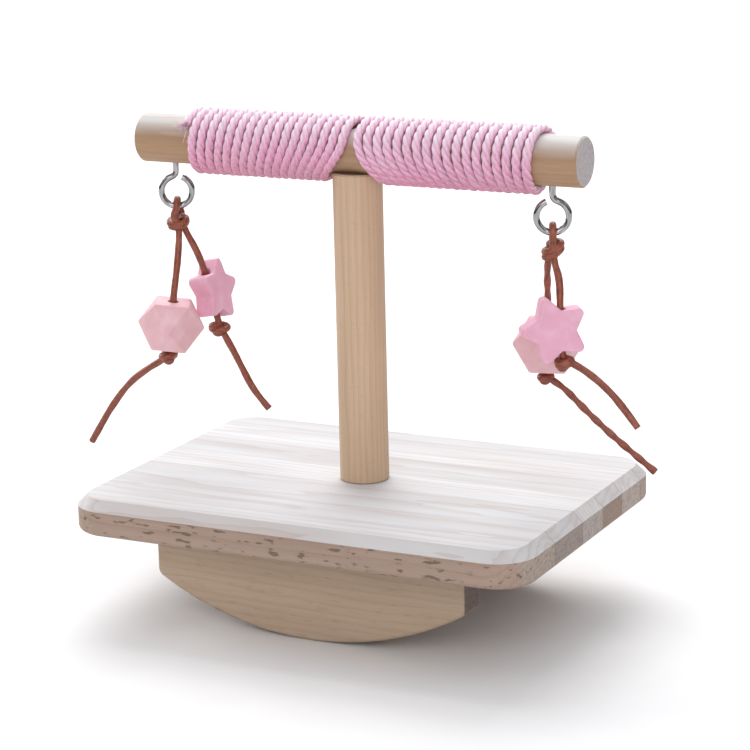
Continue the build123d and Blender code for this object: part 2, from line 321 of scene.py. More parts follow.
def fade(tree, value, low, high, to_low=0.0, to_high=1.0):
    """value taken from low..high to to_low..to_high, held at both ends."""
    links = {"Value": value, "From Min": low, "From Max": high, "To Min": to_low, "To Max": to_high}
    return add(tree, "ShaderNodeMapRange", links).outputs["Result"]


def blend_colour(tree, amount, a, b, mode="MIX"):
    node = add(tree, "ShaderNodeMix", data_type="RGBA", blend_type=mode)
    for socket, value in (("Factor_Float", amount), ("A_Color", a), ("B_Color", b)):
        target = next(s for s in node.inputs if s.identifier == socket)
        if isinstance(value, bpy.types.NodeSocket):
            tree.links.new(value, target)
        else:
            target.default_value = (*value, 1.0) if isinstance(value, tuple) else value
    return next(s for s in node.outputs if s.identifier == "Result_Color")


def bump(tree, surface, height, distance, strength=1.0):
    node = add(tree, "ShaderNodeBump", {"Height": height, "Distance": distance, "Strength": strength})
    tree.links.new(node.outputs["Normal"], surface.inputs["Normal"])


def toned(colour, factor):
    """The colour scaled, by one factor or by one for each channel."""
    factors = factor if isinstance(factor, tuple) else (factor,) * 3
    return tuple(c * k for c, k in zip(colour, factors))


def paler(colour, share):
    """The colour moved this share of the way to white."""
    return tuple(c + (1.0 - c) * share for c in colour)


def grain_noise(tree, at, along, scales, offset, detail, roughness=0.55):
    """Noise drawn out along the grain. scales are its scales along the grain and across it."""
    size = [scales[0] if axis == along else scales[1] for axis in range(3)]
    return noise(tree, scaled(tree, at, size, offset), 1.0, detail, roughness)


def growth_rings(tree, at, along, pith, ring_width, wander):
    """How late in its yearly ring the wood is, from 0 to 1. The rings run round the pith."""
    split = add(tree, "ShaderNodeSeparateXYZ", {0: scaled(tree, at, (1, 1, 1), [-c for c in pith])})
    across = [split.outputs[axis] for axis in range(3) if axis != along]
    squares = [math_node(tree, "MULTIPLY", c, c) for c in across]
    radius = math_node(tree, "SQRT", math_node(tree, "ADD", *squares))
    wobble = math_node(tree, "MULTIPLY", math_node(tree, "SUBTRACT", wander, 0.5), 3.2 * ring_width)
    phase = math_node(tree, "DIVIDE", math_node(tree, "ADD", radius, wobble), ring_width)
    saw = math_node(tree, "FRACT", phase)
    return fade(tree, math_node(tree, "POWER", saw, 2.4), 0.15, 1.0)


def glare_painted_top(tree, colour, top, light, late, broad, upward):
    """The paler colour of faces that look up: painted glare, standing in for light from above."""
    pale = blend_colour(tree, fade(tree, late, 0.0, 1.0, 0.0, 0.30), top, light)
    pale = blend_colour(tree, fade(tree, broad, 0.4, 0.75, 0.0, 0.30), pale, light)
    return blend_colour(tree, math_node(tree, "MULTIPLY", upward, 0.9), colour, pale)


def end_grain(tree, at, late, end):
    """The colour of the cut ends, with dark pores."""
    pore = noise(tree, scaled(tree, at, (900, 900, 900)), 1.0, 3.0, 0.6)
    colour = blend_colour(tree, math_node(tree, "MULTIPLY", late, 0.5), end, toned(end, 0.7))
    return blend_colour(tree, fade(tree, pore, 0.45, 0.7, 0.0, 0.5), colour, toned(end, 0.5))


def torn_marks(tree, at, colour, dark, seed, strength, upward):
    """Short dark marks where the saw tore the grain. Faces that look up, which carry the painted glare,
    have none.
    """
    torn = noise(tree, scaled(tree, at, (240, 820, 820), (seed, 0.0, 0.0)), 1.0, 2.0, 0.5)
    tear = fade(tree, torn, 0.60, 0.67, 0.0, strength)
    if upward is not None:
        tear = math_node(tree, "MULTIPLY", tear, fade(tree, upward, 0.0, 0.4, 1.0, 0.0))
    return blend_colour(tree, tear, colour, toned(dark, 0.45))


def glued_seams(tree, at, colour, seam, upward):
    """Dark lines at a stave's glued edges, fainter on the faces that look up, where the painted glare lies.
    """
    y = add(tree, "ShaderNodeSeparateXYZ", {0: at}).outputs[1]
    for edge in [e for e in seam if e is not None]:
        gap = math_node(tree, "ABSOLUTE", math_node(tree, "SUBTRACT", y, edge))
        dark = fade(tree, gap, 0.00005, 0.00035, 0.55, 0.0)
        if upward is not None:
            dark = math_node(tree, "MULTIPLY", dark, fade(tree, upward, 0.75, 1.0, 1.0, 0.22))
        colour = blend_colour(tree, dark, colour, SEAM_COLOUR)
    return colour


def wood(name, light, dark, along, pith, ring_width, tint=1.0, seam=None, seed=0.0, pits=0.0, top=None,
         end=PLAIN_END):
    """Sawn wood as a solid pattern: growth rings round a pith that runs along one axis.

    pith is a point on it. seam is the (low, high) of a stave in Y, where its glued edges look dark.
    top is the paler colour of the faces that look up: painted glare, standing in for light from above."""
    material, tree, surface = shader(name, 0.62)
    surface.inputs["Specular IOR Level"].default_value = 0.35
    place = add(tree, "ShaderNodeTexCoord")
    at = place.outputs["Object"]
    facing = add(tree, "ShaderNodeSeparateXYZ", {0: place.outputs["Normal"]})
    wander = grain_noise(tree, at, along, (9, 81), (seed, seed, seed), 3.0)
    fibre = grain_noise(tree, at, along, (55, 2340), (0.0, seed, 0.0), 5.0, 0.7)
    broad = grain_noise(tree, at, along, (14, 126), (0.0, 0.0, seed), 2.0)
    late = growth_rings(tree, at, along, pith, ring_width, wander)

    colour = blend_colour(tree, math_node(tree, "MULTIPLY", late, 0.55), light, dark)
    colour = blend_colour(tree, fade(tree, fibre, 0.42, 0.75, 0.0, 0.5), colour, dark)
    colour = blend_colour(tree, fade(tree, broad, 0.35, 0.7, 0.0, 0.35), colour, toned(dark, 0.88))
    upward = None
    if top:
        # Painted glare: faces that look up are mixed toward the pale top colour, as light from above would
        # show them.
        upward = fade(tree, facing.outputs[2], 0.20, 0.78)
        colour = glare_painted_top(tree, colour, top, light, late, broad, upward)
    at_end = fade(tree, math_node(tree, "ABSOLUTE", facing.outputs[along]), 0.75, 0.92)
    colour = blend_colour(tree, at_end, colour, end_grain(tree, at, late, end))
    if pits:
        colour = torn_marks(tree, at, colour, dark, seed, pits, upward)
    if seam:
        colour = glued_seams(tree, at, colour, seam, upward)
    colour = blend_colour(tree, 1.0, colour, (tint, tint * 0.985, tint * 0.97), "MULTIPLY")
    tree.links.new(colour, surface.inputs["Base Color"])
    tree.links.new(fade(tree, fibre, 0.3, 0.8, 0.52, 0.74), surface.inputs["Roughness"])
    raised = math_node(tree, "MULTIPLY", fibre, 0.6)
    height = math_node(tree, "ADD", raised, math_node(tree, "MULTIPLY", late, -0.3))
    bump(tree, surface, height, 0.00012, 0.7)
    return material


def metal(name):
    """Bright nickel plate with faint draw marks."""
    material, tree, surface = shader(name, 0.10, Metallic=1.0)
    at = add(tree, "ShaderNodeTexCoord").outputs["Object"]
    mark = noise(tree, scaled(tree, at, (900, 900, 260)), 1.0, 3.0)
    tone = ramp(tree, mark, [(0.3, (0.28, 0.275, 0.275)), (0.7, (0.47, 0.47, 0.48))])
    tree.links.new(tone, surface.inputs["Base Color"])
    tree.links.new(fade(tree, mark, 0.3, 0.7, 0.06, 0.15), surface.inputs["Roughness"])
    bump(tree, surface, mark, 0.00002, 0.4)
    return material


def cotton(name, colour):
    """Dyed cotton strands. UV runs along the strand in centimetres, and once round it."""
    material, tree, surface = shader(name, 0.85)
    surface.inputs["Sheen Weight"].default_value = 0.55
    surface.inputs["Sheen Roughness"].default_value = 0.4
    surface.inputs["Subsurface Weight"].default_value = 0.25
    surface.inputs["Subsurface Radius"].default_value = (0.002, 0.001, 0.0012)
    surface.inputs["Subsurface Scale"].default_value = 1.0
    place = add(tree, "ShaderNodeTexCoord")
    yarn = noise(tree, scaled(tree, place.outputs["UV"], (9.0, 13.0, 1.0)), 1.0, 4.0, 0.65, 0.6)
    fluff = noise(tree, scaled(tree, place.outputs["Object"], (2600, 2600, 2600)), 1.0, 3.0, 0.7)
    patch = noise(tree, scaled(tree, place.outputs["Object"], (90, 90, 90)), 1.0, 2.0)
    pale, deep = paler(colour, 0.55), toned(colour, 0.72)
    tone = ramp(tree, yarn, [(0.30, deep), (0.52, colour), (0.78, pale)])
    tone = blend_colour(tree, fade(tree, patch, 0.40, 0.75, 0.0, 0.30), tone, pale)
    # Painted light: faces that look up are mixed toward a pale painted glare, and faces that look down
    # toward a deeper painted shade.
    rise = add(tree, "ShaderNodeSeparateXYZ", {0: place.outputs["Normal"]}).outputs[2]
    shade = toned(colour, (0.60, 0.40, 0.42))
    painted_glare = (0.97, 0.87, 0.95)
    tone = blend_colour(tree, fade(tree, rise, 0.10, 0.85, 0.0, 0.82), tone, painted_glare)
    tone = blend_colour(tree, fade(tree, rise, -0.85, 0.05, 0.85, 0.0), tone, shade)
    tree.links.new(tone, surface.inputs["Base Color"])
    height = math_node(tree, "ADD", yarn, math_node(tree, "MULTIPLY", fluff, 0.5))
    bump(tree, surface, height, 0.00022, 0.9)
    return material


def waxed_cord(name, colour):
    """Round waxed cord, worn paler in places. UV runs along it in centimetres, and once round it."""
    material, tree, surface = shader(name, 0.36)
    surface.inputs["Specular IOR Level"].default_value = 0.65
    place = add(tree, "ShaderNodeTexCoord")
    streak = noise(tree, scaled(tree, place.outputs["UV"], (7.0, 9.0, 1.0)), 1.0, 5.0, 0.65, 0.4)
    crease = noise(tree, scaled(tree, place.outputs["UV"], (45.0, 5.0, 1.0)), 1.0, 3.0, 0.6, 0.8)
    wear = noise(tree, scaled(tree, place.outputs["Object"], (260, 260, 260)), 1.0, 3.0)
    deep = toned(colour, 0.35)
    bright = tuple(min(1.0, c * 1.5) for c in colour)
    pale = (0.50, 0.17, 0.09)
    tone = ramp(tree, streak, [(0.30, deep), (0.52, colour), (0.80, bright)])
    tone = blend_colour(tree, fade(tree, wear, 0.52, 0.80, 0.0, 0.40), tone, pale)
    tree.links.new(tone, surface.inputs["Base Color"])
    tree.links.new(fade(tree, streak, 0.3, 0.8, 0.30, 0.52), surface.inputs["Roughness"])
    height = math_node(tree, "ADD", streak, math_node(tree, "MULTIPLY", crease, 0.5))
    bump(tree, surface, height, 0.00012, 0.8)
    return material


def cut_end(name):
    """The pale fibres where a cord is cut."""
    material, tree, surface = shader(name, 0.9)
    at = add(tree, "ShaderNodeTexCoord").outputs["Object"]
    fibre = noise(tree, scaled(tree, at, (3800, 3800, 3800)), 1.0, 3.0)
    tone = ramp(tree, fibre, [(0.3, (0.13, 0.06, 0.05)), (0.7, (0.42, 0.27, 0.25))])
    tree.links.new(tone, surface.inputs["Base Color"])
    bump(tree, surface, fibre, 0.0002, 0.8)
    return material


def paint(name, colour):
    """Matt paint on turned wood: faint grain under it, small pits, and thin paint near the pits."""
    material, tree, surface = shader(name, 0.5)
    surface.inputs["Specular IOR Level"].default_value = 0.4
    at = add(tree, "ShaderNodeTexCoord").outputs["Object"]
    grain = noise(tree, scaled(tree, at, (260, 260, 1500)), 1.0, 4.0, 0.6)
    mottle = noise(tree, scaled(tree, at, (180, 180, 180)), 1.0, 3.0)
    pit = noise(tree, scaled(tree, at, (1250, 1250, 1250)), 1.0, 1.0, 0.3)
    pale, deep = paler(colour, 0.16), toned(colour, 0.93)
    tone = ramp(tree, mottle, [(0.32, deep), (0.5, colour), (0.72, pale)])
    tone = blend_colour(tree, fade(tree, grain, 0.5, 0.8, 0.0, 0.12), tone, deep)
    hollow = fade(tree, pit, 0.74, 0.80)
    tone = blend_colour(tree, math_node(tree, "MULTIPLY", hollow, 0.45), tone, toned(colour, 0.6))
    tree.links.new(tone, surface.inputs["Base Color"])
    tree.links.new(fade(tree, mottle, 0.3, 0.7, 0.42, 0.58), surface.inputs["Roughness"])
    height = math_node(tree, "SUBTRACT", math_node(tree, "MULTIPLY", grain, 0.35), hollow)
    bump(tree, surface, height, 0.00008, 0.6)
    return material


def plain_floor(name):
    material, tree, surface = shader(name, 0.8)
    at = add(tree, "ShaderNodeTexCoord").outputs["Object"]
    speck = noise(tree, scaled(tree, at, (40, 40, 40)), 1.0, 2.0)
    tone = ramp(tree, speck, [(0.3, (0.79, 0.79, 0.79)), (0.7, (0.81, 0.81, 0.81))])
    tree.links.new(tone, surface.inputs["Base Color"])
    return material


# ---------------------------------------------------------------- mesh helpers


def show(obj):
    bpy.context.scene.collection.objects.link(obj)
    return obj


def piece(name, mesh, body, material, replaced=(), sharp_angle=None):
    """A finished piece of the object, riding on a CAD body."""
    obj = show(bpy.data.objects.new(name, mesh))
    for each in material if isinstance(material, (list, tuple)) else [material]:
        mesh.materials.append(each)
    mesh.shade_smooth()
    if sharp_angle:
        mesh.set_sharp_from_angle(angle=sharp_angle)
    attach(obj, body)
    if replaced:
        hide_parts(*replaced)
    return obj


def finish_cad_node(name, material):
    """Gives a CAD node that keeps its own shape its finished material."""
    mesh = frame["nodes"][name].data
    mesh.materials.clear()
    mesh.materials.append(material)


def smooth_route(points):
    """Close points along the smooth spline that a route's points control."""
    curve = bpy.data.curves.new("route", "CURVE")
    curve.dimensions = "3D"
    curve.resolution_u = 16
    spline = curve.splines.new("NURBS")
    spline.points.add(len(points) - 1)
    for control, point in zip(spline.points, points):
        control.co = (*point, 1.0)
    spline.order_u = 3
    spline.use_endpoint_u = True
    holder = bpy.data.objects.new("route", curve)
    line = bpy.data.meshes.new_from_object(holder)
    path = np.array([tuple(v.co) for v in line.vertices])
    bpy.data.objects.remove(holder)
    bpy.data.curves.remove(curve)
    bpy.data.meshes.remove(line)
    return path


def evenly(path, step):
    """The same line with its points a fixed step apart."""
    lengths = np.concatenate([[0.0], np.cumsum(np.linalg.norm(np.diff(path, axis=0), axis=1))])
    count = max(3, int(round(lengths[-1] / step)) + 1)
    wanted = np.linspace(0.0, lengths[-1], count)
    return np.stack([np.interp(wanted, lengths, path[:, axis]) for axis in range(3)], axis=1)


def travel(path):
    """The unit direction at each point, and two sides square to it that never twist."""
    ahead = np.gradient(path, axis=0)
    ahead /= np.linalg.norm(ahead, axis=1)[:, None]
    side = np.zeros_like(path)
    seed = np.array([0.0, 0.0, 1.0]) if abs(ahead[0][2]) < 0.9 else np.array([1.0, 0.0, 0.0])
    side[0] = seed - ahead[0] * (seed @ ahead[0])
    side[0] /= np.linalg.norm(side[0])
    for i in range(1, len(path)):
        side[i] = side[i - 1] - ahead[i] * (side[i - 1] @ ahead[i])
        side[i] /= np.linalg.norm(side[i])
    return ahead, side, np.cross(ahead, side)


class Tubes:
    """Gathers tubes into one mesh. UV: centimetres along, and once round. Caps use material 1."""

    def __init__(self):
        self.points, self.faces, self.uvs, self.slots, self.count = [], [], [], [], 0

    def add(self, path, radius, sides=12, flat=1.0, twist=0.0, caps=True, dome=0.35):
        """radius is one value or one for each point. flat and twist make an oval that turns."""
        ahead, side, other = travel(path)
        radius = np.broadcast_to(np.asarray(radius, float), len(path))
        along = np.concatenate([[0.0], np.cumsum(np.linalg.norm(np.diff(path, axis=0), axis=1))])
        angles = np.linspace(0.0, 2 * math.pi, sides, endpoint=False)
        turn = twist * along
        first = side * np.cos(turn)[:, None] + other * np.sin(turn)[:, None]
        second = -side * np.sin(turn)[:, None] + other * np.cos(turn)[:, None]
        rings = [
            path + radius[:, None] * (math.cos(a) * first + flat * math.sin(a) * second) for a in angles
        ]
        start = self.count
        self.points.append(np.stack(rings, axis=1).reshape(-1, 3))
        self.count += len(path) * sides
        for i in range(len(path) - 1):
            for k in range(sides):
                n = (k + 1) % sides
                a, b = start + i * sides, start + (i + 1) * sides
                self.faces.append((a + k, a + n, b + n, b + k))
                u, v = along[i] * 100, along[i + 1] * 100
                low, high = k / sides, (k + 1) / sides
                self.uvs.extend([(u, low), (u, high), (v, high), (v, low)])
                self.slots.append(0)
        if caps:
            ends = ((0, -ahead[0], radius[0]), (len(path) - 1, ahead[-1], radius[-1]))
            for index, outward, size in ends:
                self.points.append((path[index] + outward * size * dome)[None])
                ring = [start + index * sides + k for k in range(sides)]
                for k in range(sides):
                    pair = (ring[k], ring[(k + 1) % sides])
                    self.faces.append((*(pair if index else pair[::-1]), self.count))
                    self.uvs.extend([(0.0, 0.0), (0.1, 0.0), (0.0, 0.1)])
                    self.slots.append(1)
                self.count += 1

    def mesh(self, name):
        mesh = bpy.data.meshes.new(name)
        mesh.from_pydata(np.concatenate(self.points).tolist(), [], self.faces)
        layer = mesh.uv_layers.new(name="UVMap")
        layer.data.foreach_set("uv", np.array(self.uvs, dtype=np.float32).ravel())
        mesh.polygons.foreach_set("material_index", self.slots)
        return mesh


def to_row_frame(points, origin, turn=0.0):
    """Local millimetres, turned about the vertical and moved to origin, in metres."""
    spin = Matrix.Rotation(turn, 3, "Z")
    return [tuple(Vector(origin) + spin @ (Vector(p) * MM)) for p in points]


# ---------------------------------------------------------------- wood and metal


def finish_wood(settings):
    """Solid wood patterns for the staves, the rockers, the rods and the pins."""
    ring = settings.ring_width
    light, dark = tuple(settings.board_light), tuple(settings.board_dark)
    staves = zip(STAVES, STAVE_TINTS, STAVE_PITHS, STAVE_ENDS)
    for number, (name, tint, (across, up), end) in enumerate(staves):
        low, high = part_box(name)
        middle = (Vector(low) + Vector(high)) / 2
        seam = (None if number == 0 else low[1], None if number == len(STAVES) - 1 else high[1])
        pith = (0.0, middle.y + across, middle.z + up)
        look = wood(
            f"{name}_wood", light, dark, 0, pith, ring * tint, tint, seam, seed=2.7 * number,
            pits=0.85 if number == 0 else 0.4, top=tuple(settings.board_top_glare), end=end,
        )
        finish_cad_node(name, look)
    light, dark = tuple(settings.rocker_light), tuple(settings.rocker_dark)
    for index, name in enumerate(("front_rocker", "rear_rocker")):
        low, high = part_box(name)
        pith = (0.0, (low[1] + high[1]) / 2 + 0.004, high[2] + 0.02)
        look = wood(
            f"{name}_wood", light, dark, 0, pith, ring * 1.3, seed=11.0 + index, pits=0.12, end=ROCKER_END_AND_SHADE
        )
        finish_cad_node(name, look)
    light, dark = tuple(settings.rod_light), tuple(settings.rod_dark)
    axis_z = sum(corner[2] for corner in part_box("crossbar")) / 2
    post_pith = (0.011, 0.009, 0.0)
    post = wood("post_wood", light, dark, 2, post_pith, ring * 0.8, 1.06, seed=21.0, pits=0.06)
    bar = wood(
        "bar_wood", toned(light, BAR_WARMTH), toned(dark, BAR_WARMTH), 0, (0.0, 0.010, axis_z - 0.004),
        ring * 0.8, 0.76, seed=23.0, pits=0.06, top=tuple(settings.bar_top_glare), end=BAR_END,
    )
    pins = wood("pin_wood", light, dark, 2, (0.0, 0.0, 0.0), ring, 0.95, seed=29.0)
    finish_cad_node("post", post)
    finish_cad_node("crossbar", bar)
    finish_cad_node("rocker_pins", pins)


def finish_metal():
    plate = metal("nickel_plate")
    for name in ("left_screw_eye", "right_screw_eye", "post_screw", "bar_screw"):
        finish_cad_node(name, plate)


# ---------------------------------------------------------------- rope


def rope_line(settings, samples_per_turn=72):
    """The rope's centre line round the bar: one winding, which straddles the post.

    The angle is 0 below the bar and grows up the front. The turns next to the post lean away from it."""
    left_low, left_high = (Vector(c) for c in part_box("rope_wrap_left"))
    right_low, right_high = (Vector(c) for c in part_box("rope_wrap_right"))
    axis_z = (left_low.z + left_high.z) / 2
    outer_radius = (left_high.z - left_low.z) / 2
    bar_low, bar_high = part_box("crossbar")
    rope_radius = (outer_radius - (bar_high[2] - bar_low[2]) / 2) / 2
    centre_radius = outer_radius - rope_radius
    post_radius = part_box("post")[1][0]
    start, crossing = ROPE_START, math.pi + 2 * math.pi * settings.left_turns
    finish = crossing + math.pi + 2 * math.pi * settings.right_turns - ROPE_SHORT_OF_TURN
    left_outer, right_outer = left_low.x + 0.5 * rope_radius, right_high.x
    left_top, right_top = left_high.x - rope_radius, right_low.x + rope_radius
    left_bottom, right_bottom = -post_radius - rope_radius, post_radius + 2.8 * rope_radius

    def inner(angle, top, bottom, rise, reach):
        """How near to the post a turn comes: at bottom below the bar, at top from reach upward."""
        below = abs((angle + math.pi) % (2 * math.pi) - math.pi)
        share = min(1.0, max(0.0, (below - rise) / (reach - rise)))
        return bottom + (top - bottom) * (1 - math.cos(math.pi * share)) / 2

    def left_edge(angle):
        return inner(angle, left_top, left_bottom, math.radians(5), math.radians(115))

    def right_edge(angle):
        return inner(angle, right_top, right_bottom, 0.0, math.radians(130))

    def place(angle):
        if angle <= crossing:
            share = (angle - start) / (crossing - start)
            return left_outer + (left_edge(angle) - left_outer) * share
        if angle >= crossing + math.pi:
            share = (angle - crossing - math.pi) / (finish - crossing - math.pi)
            return right_edge(angle) + (right_outer - right_edge(angle)) * share
        share = (angle - crossing) / math.pi
        return right_edge(angle) - (right_top - left_top) * (1 - share * share * (3 - 2 * share))

    count = int((finish - start) / (2 * math.pi) * samples_per_turn)
    angles = np.linspace(start, finish, count)
    line = np.array([
        (place(a), -centre_radius * math.sin(a), axis_z - centre_radius * math.cos(a)) for a in angles
    ])
    outward = np.array([(0.0, -math.sin(a), -math.cos(a)) for a in angles])
    return line, outward


def frayed_end(tubes, tip, direction, rng, length=0.0042, count=26):
    """Loose cotton fibres that fan out of a cut end."""
    for _ in range(count):
        spread = rng.normal(size=3) * 0.55
        way = direction + spread
        way /= np.linalg.norm(way)
        sag = rng.normal(size=3) * 0.25
        reach = length * rng.uniform(0.45, 1.0)
        share = np.linspace(0.0, 1.0, 7)[:, None]
        root = tip + rng.normal(size=3) * 0.0004
        path = root + way * share * reach + sag * share**2 * reach
        tubes.add(path, np.linspace(0.00016, 0.00005, 7), sides=5)


def build_rope(settings):
    """Three twisted strands along the winding, with a frayed tuft at each end."""
    line, outward = rope_line(settings)
    ahead = np.gradient(line, axis=0)
    ahead /= np.linalg.norm(ahead, axis=1)[:, None]
    beside = np.cross(ahead, outward)
    along = np.concatenate([[0.0], np.cumsum(np.linalg.norm(np.diff(line, axis=0), axis=1))])
    rng = np.random.default_rng(7)
    changes = rng.normal(size=int(along[-1] / UNEVEN_STEP) + 2)
    places = np.arange(len(changes)) * UNEVEN_STEP
    uneven = np.interp(along, places, changes)
    tubes = Tubes()
    strand = settings.strand_radius
    for index in range(3):
        angle = -2 * math.pi * along / settings.lay_length + 2 * math.pi * index / 3 + 0.25 * uneven
        offset = np.cos(angle)[:, None] * outward + np.sin(angle)[:, None] * beside
        path = line + offset * strand * STRAND_OFFSET
        swell = strand * (1.0 + 0.05 * np.interp(along, places, np.roll(changes, 5 * index)))
        tubes.add(path, swell, sides=9)
    frayed_end(tubes, line[0], -ahead[0] + outward[0] * 0.8, rng)
    frayed_end(tubes, line[-1], ahead[-1] + outward[-1] * 0.3, rng, 0.0036)
    for index in rng.integers(20, len(line) - 20, size=settings.loose_fibres):
        root = line[index] + outward[index] * strand * 1.5 + beside[index] * rng.normal() * strand
        lean = ahead[index] * rng.normal() + beside[index] * rng.normal() + outward[index] * 0.45
        lean /= np.linalg.norm(lean)
        reach = rng.uniform(0.0006, 0.0017)
        share = np.linspace(0.0, 1.0, 4)[:, None]
        curl = outward[index] * rng.uniform(-0.6, 0.3)
        tubes.add(root + (lean * share + curl * share**2) * reach, 0.000035, sides=3, caps=False)
    look = cotton("rope_cotton", tuple(settings.colour))
    piece(
        "rope_winding", tubes.mesh("rope_winding"), "stand", [look, look],
        ["rope_wrap_left", "rope_wrap_right"],
    )


# ---------------------------------------------------------------- cords and knots


def wrap(radius_x, radius_y, height, turns, lean_x=0.0, lean_y=0.0, start=0.0, per_turn=8):
    """Points of a leaning wrap of cord about the vertical, in millimetres. Its ends tuck inside."""
    points = []
    count = int(turns * per_turn) + 1
    for i in range(count):
        angle = start + 2 * math.pi * i / per_turn
        x, y = radius_x * math.cos(angle), radius_y * math.sin(angle)
        points.append((x, y, height * (i / (count - 1) - 0.5) + lean_x * x + lean_y * y))
    first, last = points[0], points[-1]
    inside = [(0.25 * first[0], 0.25 * first[1], first[2] - 0.5)]
    return inside + points + [(0.25 * last[0], 0.25 * last[1], last[2] + 0.5)]


def build_knot(name, origin, turn, routes, body, replaced, looks, radius):
    """A tied knot from a few short routes of the same cord, in millimetres about its middle."""
    tubes = Tubes()
    for route in routes:
        path = evenly(smooth_route(to_row_frame(route, origin, turn)), 0.00025)
        tubes.add(path, radius, sides=14)
    piece(name, tubes.mesh(name), body, looks, [replaced])


def build_loop(side, looks, radius):
    """The loop over the ring's wire, down into the top knot. Splay parts its two legs sideways."""
    reach = radius / MM + WIRE_RADIUS + WIRE_GAP
    splay = LOOP_SPLAY[side]
    arc = [(0.0, reach * math.cos(a), reach * math.sin(a)) for a in np.linspace(math.pi, 0.0, 25)]
    down = [-4.6, -3.4, -2.2, -1.1]
    front = [(-splay * min(1.0, -z / 2.2), -reach, z) for z in down[1:]]
    back = [(-x, -y, z) for x, y, z in reversed(front)]
    local = [(0.0, -0.75 * reach, down[0]), *front, *arc, *back, (0.0, 0.75 * reach, down[0])]
    path = evenly(np.array(to_row_frame(local, HANG[side], EYE_TURN[side])), 0.0002)
    tubes = Tubes()
    tubes.add(path, radius, sides=14)
    name = f"{side}_toy_loop"
    piece(name, tubes.mesh(name), f"{side}_loop", looks, [f"{side}_cord_loop"])


def build_strand(side, kind, looks, settings):
    """One strand of a toy, from inside the top knot to the cut end of its tail."""
    name = f"{side}_{kind}"
    points = to_row_frame(STRANDS[name], HANG[side])
    path = evenly(smooth_route(points), 0.0004)
    along = np.concatenate([[0.0], np.cumsum(np.linalg.norm(np.diff(path, axis=0), axis=1))])
    radius = settings.diameter / 2
    ripple = 1.0 + 0.03 * np.sin(along / 0.0023 + len(name)) + 0.02 * np.sin(along / 0.00091)
    flat, twist = (0.80, 2 * math.pi / 0.011) if name == "right_bead" else (0.95, 2 * math.pi / 0.023)
    tubes = Tubes()
    tubes.add(path, radius * ripple, sides=16, flat=flat, twist=twist, dome=0.12)
    made = piece(
        f"{name}_cord", tubes.mesh(f"{name}_cord"), f"{side}_{kind}_strand", looks,
        [f"{name}_leg", f"{name}_tail"],
    )


def middle_of(node):
    low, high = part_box(node)
    return (Vector(low) + Vector(high)) / 2


def build_knots(looks, settings):
    """The knot under each eye and the stop knot under each bead."""
    radius = settings.diameter / 2
    left_top = [
        wrap(2.75, 2.3, 1.1, 1.5, 0.10, 0.42, math.radians(200)),
        [(-0.6, 1.2, 2.2), (0.5, 1.5, 0.6), (1.3, 0.5, -1.0), (1.0, -0.4, -2.1)],
        [(0.5, -1.4, 2.2), (-0.4, -0.6, 0.8), (-0.3, 0.6, -0.8), (0.9, -0.6, -2.0)],
    ]
    right_top = [
        wrap(2.5, 2.1, 2.6, 1.9, 0.38, 0.22, math.radians(170)),
        [(0.4, 1.3, 2.3), (-0.5, 0.9, 0.6), (-1.2, 0.8, -1.0), (-1.4, 0.8, -2.1)],
        [(-0.3, -1.3, 2.3), (0.5, -0.9, 0.6), (0.6, -0.6, -1.0), (0.4, -0.8, -2.1)],
    ]
    for side, routes in (("left", left_top), ("right", right_top)):
        origin = HANG[side] - Vector((0, 0, TOP_KNOT_DROP * MM))
        build_knot(
            f"{side}_top_tie", origin, EYE_TURN[side], routes, f"{side}_loop", f"{side}_top_knot",
            looks, radius,
        )
    stops = {
        "left_star": [
            wrap(2.75, 2.3, 0.7, 1.35, -0.04, 0.12, math.radians(150)),
            [(-0.6, 0.3, 1.2), (-1.3, -0.9, -0.6), (-0.6, -1.3, -1.7), (0.9, -1.0, -1.6), (1.2, 0.2, -0.6)],
        ],
        "left_bead": [
            wrap(2.2, 2.1, 0.9, 1.4, 0.12, 0.08, math.radians(30)),
            [(-0.9, 0.4, 0.8), (-0.8, -1.1, -0.8), (0.5, -1.3, -1.9), (1.5, -0.6, -1.5), (0.8, 0.5, -0.4)],
        ],
        "right_star": [
            wrap(2.15, 2.1, 1.0, 1.4, 0.06, 0.20, math.radians(210)),
            [(-0.4, 0.4, 0.9), (-1.2, -0.9, -0.6), (-1.0, -1.0, -1.8), (0.0, -0.6, -2.0), (0.8, 0.3, -0.8)],
        ],
        "right_bead": [
            wrap(1.7, 1.7, 0.6, 1.2, -0.06, 0.10, math.radians(60)),
            [(-0.6, 0.4, 0.9), (-1.0, -0.7, -0.4), (-0.3, -1.0, -1.2), (0.7, -0.6, -1.1), (0.8, 0.4, -0.3)],
        ],
    }
    for name, routes in stops.items():
        side, kind = name.split("_")
        knot = f"{name}_knot"
        body = f"{side}_{kind}_strand"
        build_knot(f"{name}_tie", middle_of(knot), 0.0, routes, body, knot, looks, radius)


def build_cords(settings):
    looks = [waxed_cord("cord_leather", tuple(settings.colour)), cut_end("cord_cut_end")]
    for side in SIDES:
        for kind in ("bead", "star"):
            build_strand(side, kind, looks, settings)
        build_loop(side, looks, settings.diameter / 2)
    build_knots(looks, settings)


# ---------------------------------------------------------------- beads


def drill(obj, radius, length):
    """Cuts a round bore along the object's own Z, and applies it."""
    tool = bpy.data.meshes.new("drill")
    shape = bmesh.new()
    bmesh.ops.create_cone(shape, cap_ends=True, segments=40, radius1=radius, radius2=radius, depth=length)
    shape.to_mesh(tool)
    shape.free()
    cutter = show(bpy.data.objects.new("drill", tool))
    cut = obj.modifiers.new("bore", "BOOLEAN")
    cut.operation, cut.solver, cut.object = "DIFFERENCE", "EXACT", cutter
    ready = bpy.data.meshes.new_from_object(obj.evaluated_get(bpy.context.evaluated_depsgraph_get()))
    obj.modifiers.clear()
    obj.data = ready
    bpy.data.objects.remove(cutter)


